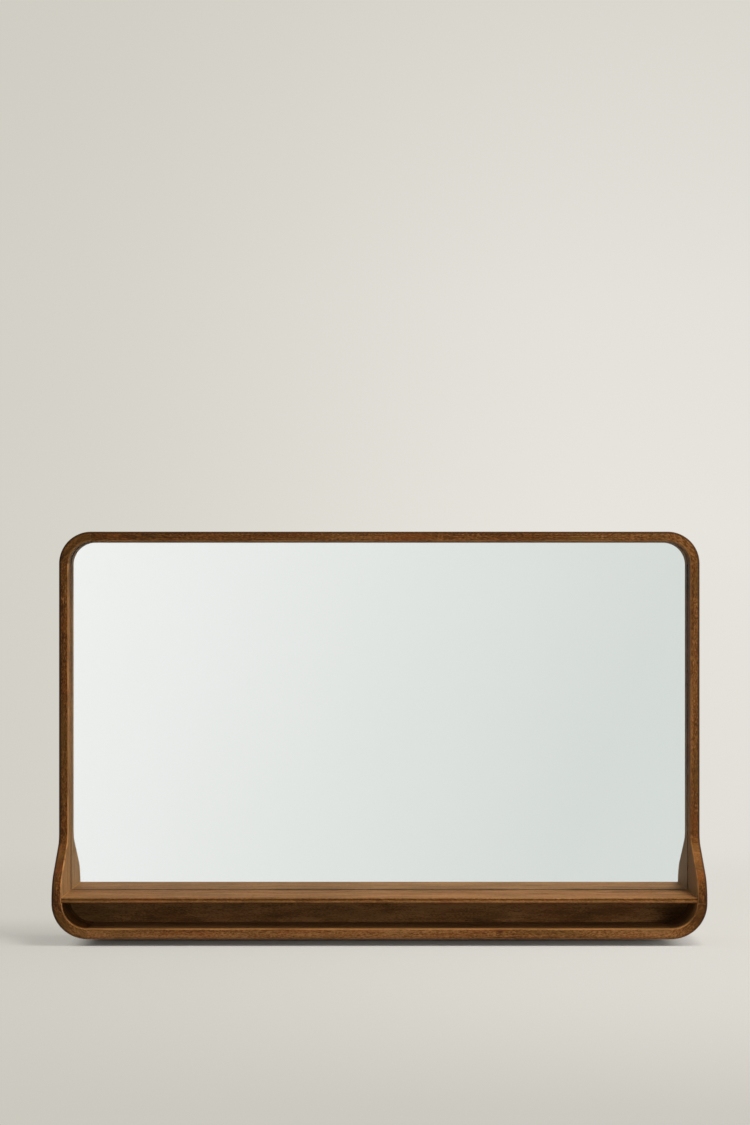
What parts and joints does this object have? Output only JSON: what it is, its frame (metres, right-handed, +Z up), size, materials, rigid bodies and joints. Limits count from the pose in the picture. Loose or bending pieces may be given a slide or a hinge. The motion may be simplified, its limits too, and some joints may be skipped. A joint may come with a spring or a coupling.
{
  "type": "mirror with shelf",
  "caption": "Wide wall mirror in a solid wood frame with round corners, with S-curved cheeks, a thin shelf under the glass and an open niche below it.",
  "frame": {"origin": "middle of the footprint, on the surface that the frame stands on", "axes": "+X to the right seen from the front, +Y from the front to the wall, +Z up"},
  "size_m": [0.8, 0.12, 0.5],
  "materials": {
    "frame_wood": "satin oiled",
    "shelf_wood": "satin oiled",
    "mirror": "polished",
    "foam_tape": "matte",
    "fibreboard": "raw",
    "dowel_wood": "raw",
    "steel": "zinc plated",
    "pad_rubber": "matte"
  },
  "bodies": {
    "frame": {"top_rail": "frame_wood", "left_side": "frame_wood", "right_side": "frame_wood", "top_left_corner": "frame_wood", "top_right_corner": "frame_wood", "bottom_left_corner": "frame_wood", "bottom_right_corner": "frame_wood", "bottom_board": "shelf_wood", "shelf_board": "shelf_wood", "lower_rail": "shelf_wood", "mirror_glass": "mirror", "foam_tapes": "foam_tape", "backing_board": "fibreboard", "upper_dowels": "dowel_wood", "lower_dowels": "dowel_wood", "base_screws": "steel", "left_hanger": "steel", "right_hanger": "steel", "hanger_screws": "steel", "button_screws": "steel", "wall_pads": "pad_rubber"},
    "top_left_button": {"top_left_button": "steel"},
    "top_right_button": {"top_right_button": "steel"},
    "left_button": {"left_button": "steel"},
    "right_button": {"right_button": "steel"},
    "bottom_left_button": {"bottom_left_button": "steel"},
    "bottom_right_button": {"bottom_right_button": "steel"}
  },
  "joints": [
    {"name": "top_left_button_turn", "type": "hinge", "parent": "frame", "child": "top_left_button", "pos_m": [-0.19, 0.05608, 0.496], "axis": [0, 1, 0], "range_deg": [-90, 90]},
    {"name": "top_right_button_turn", "type": "hinge", "parent": "frame", "child": "top_right_button", "pos_m": [0.19, 0.05608, 0.496], "axis": [0, 1, 0], "range_deg": [-90, 90]},
    {"name": "left_button_turn", "type": "hinge", "parent": "frame", "child": "left_button", "pos_m": [-0.396, 0.05608, 0.27], "axis": [0, 1, 0], "range_deg": [-90, 90]},
    {"name": "right_button_turn", "type": "hinge", "parent": "frame", "child": "right_button", "pos_m": [0.396, 0.05608, 0.27], "axis": [0, 1, 0], "range_deg": [-90, 90]},
    {"name": "bottom_left_button_turn", "type": "hinge", "parent": "frame", "child": "bottom_left_button", "pos_m": [-0.19, 0.05608, 0.038], "axis": [0, 1, 0], "range_deg": [-90, 90]},
    {"name": "bottom_right_button_turn", "type": "hinge", "parent": "frame", "child": "bottom_right_button", "pos_m": [0.19, 0.05608, 0.038], "axis": [0, 1, 0], "range_deg": [-90, 90]}
  ]
}
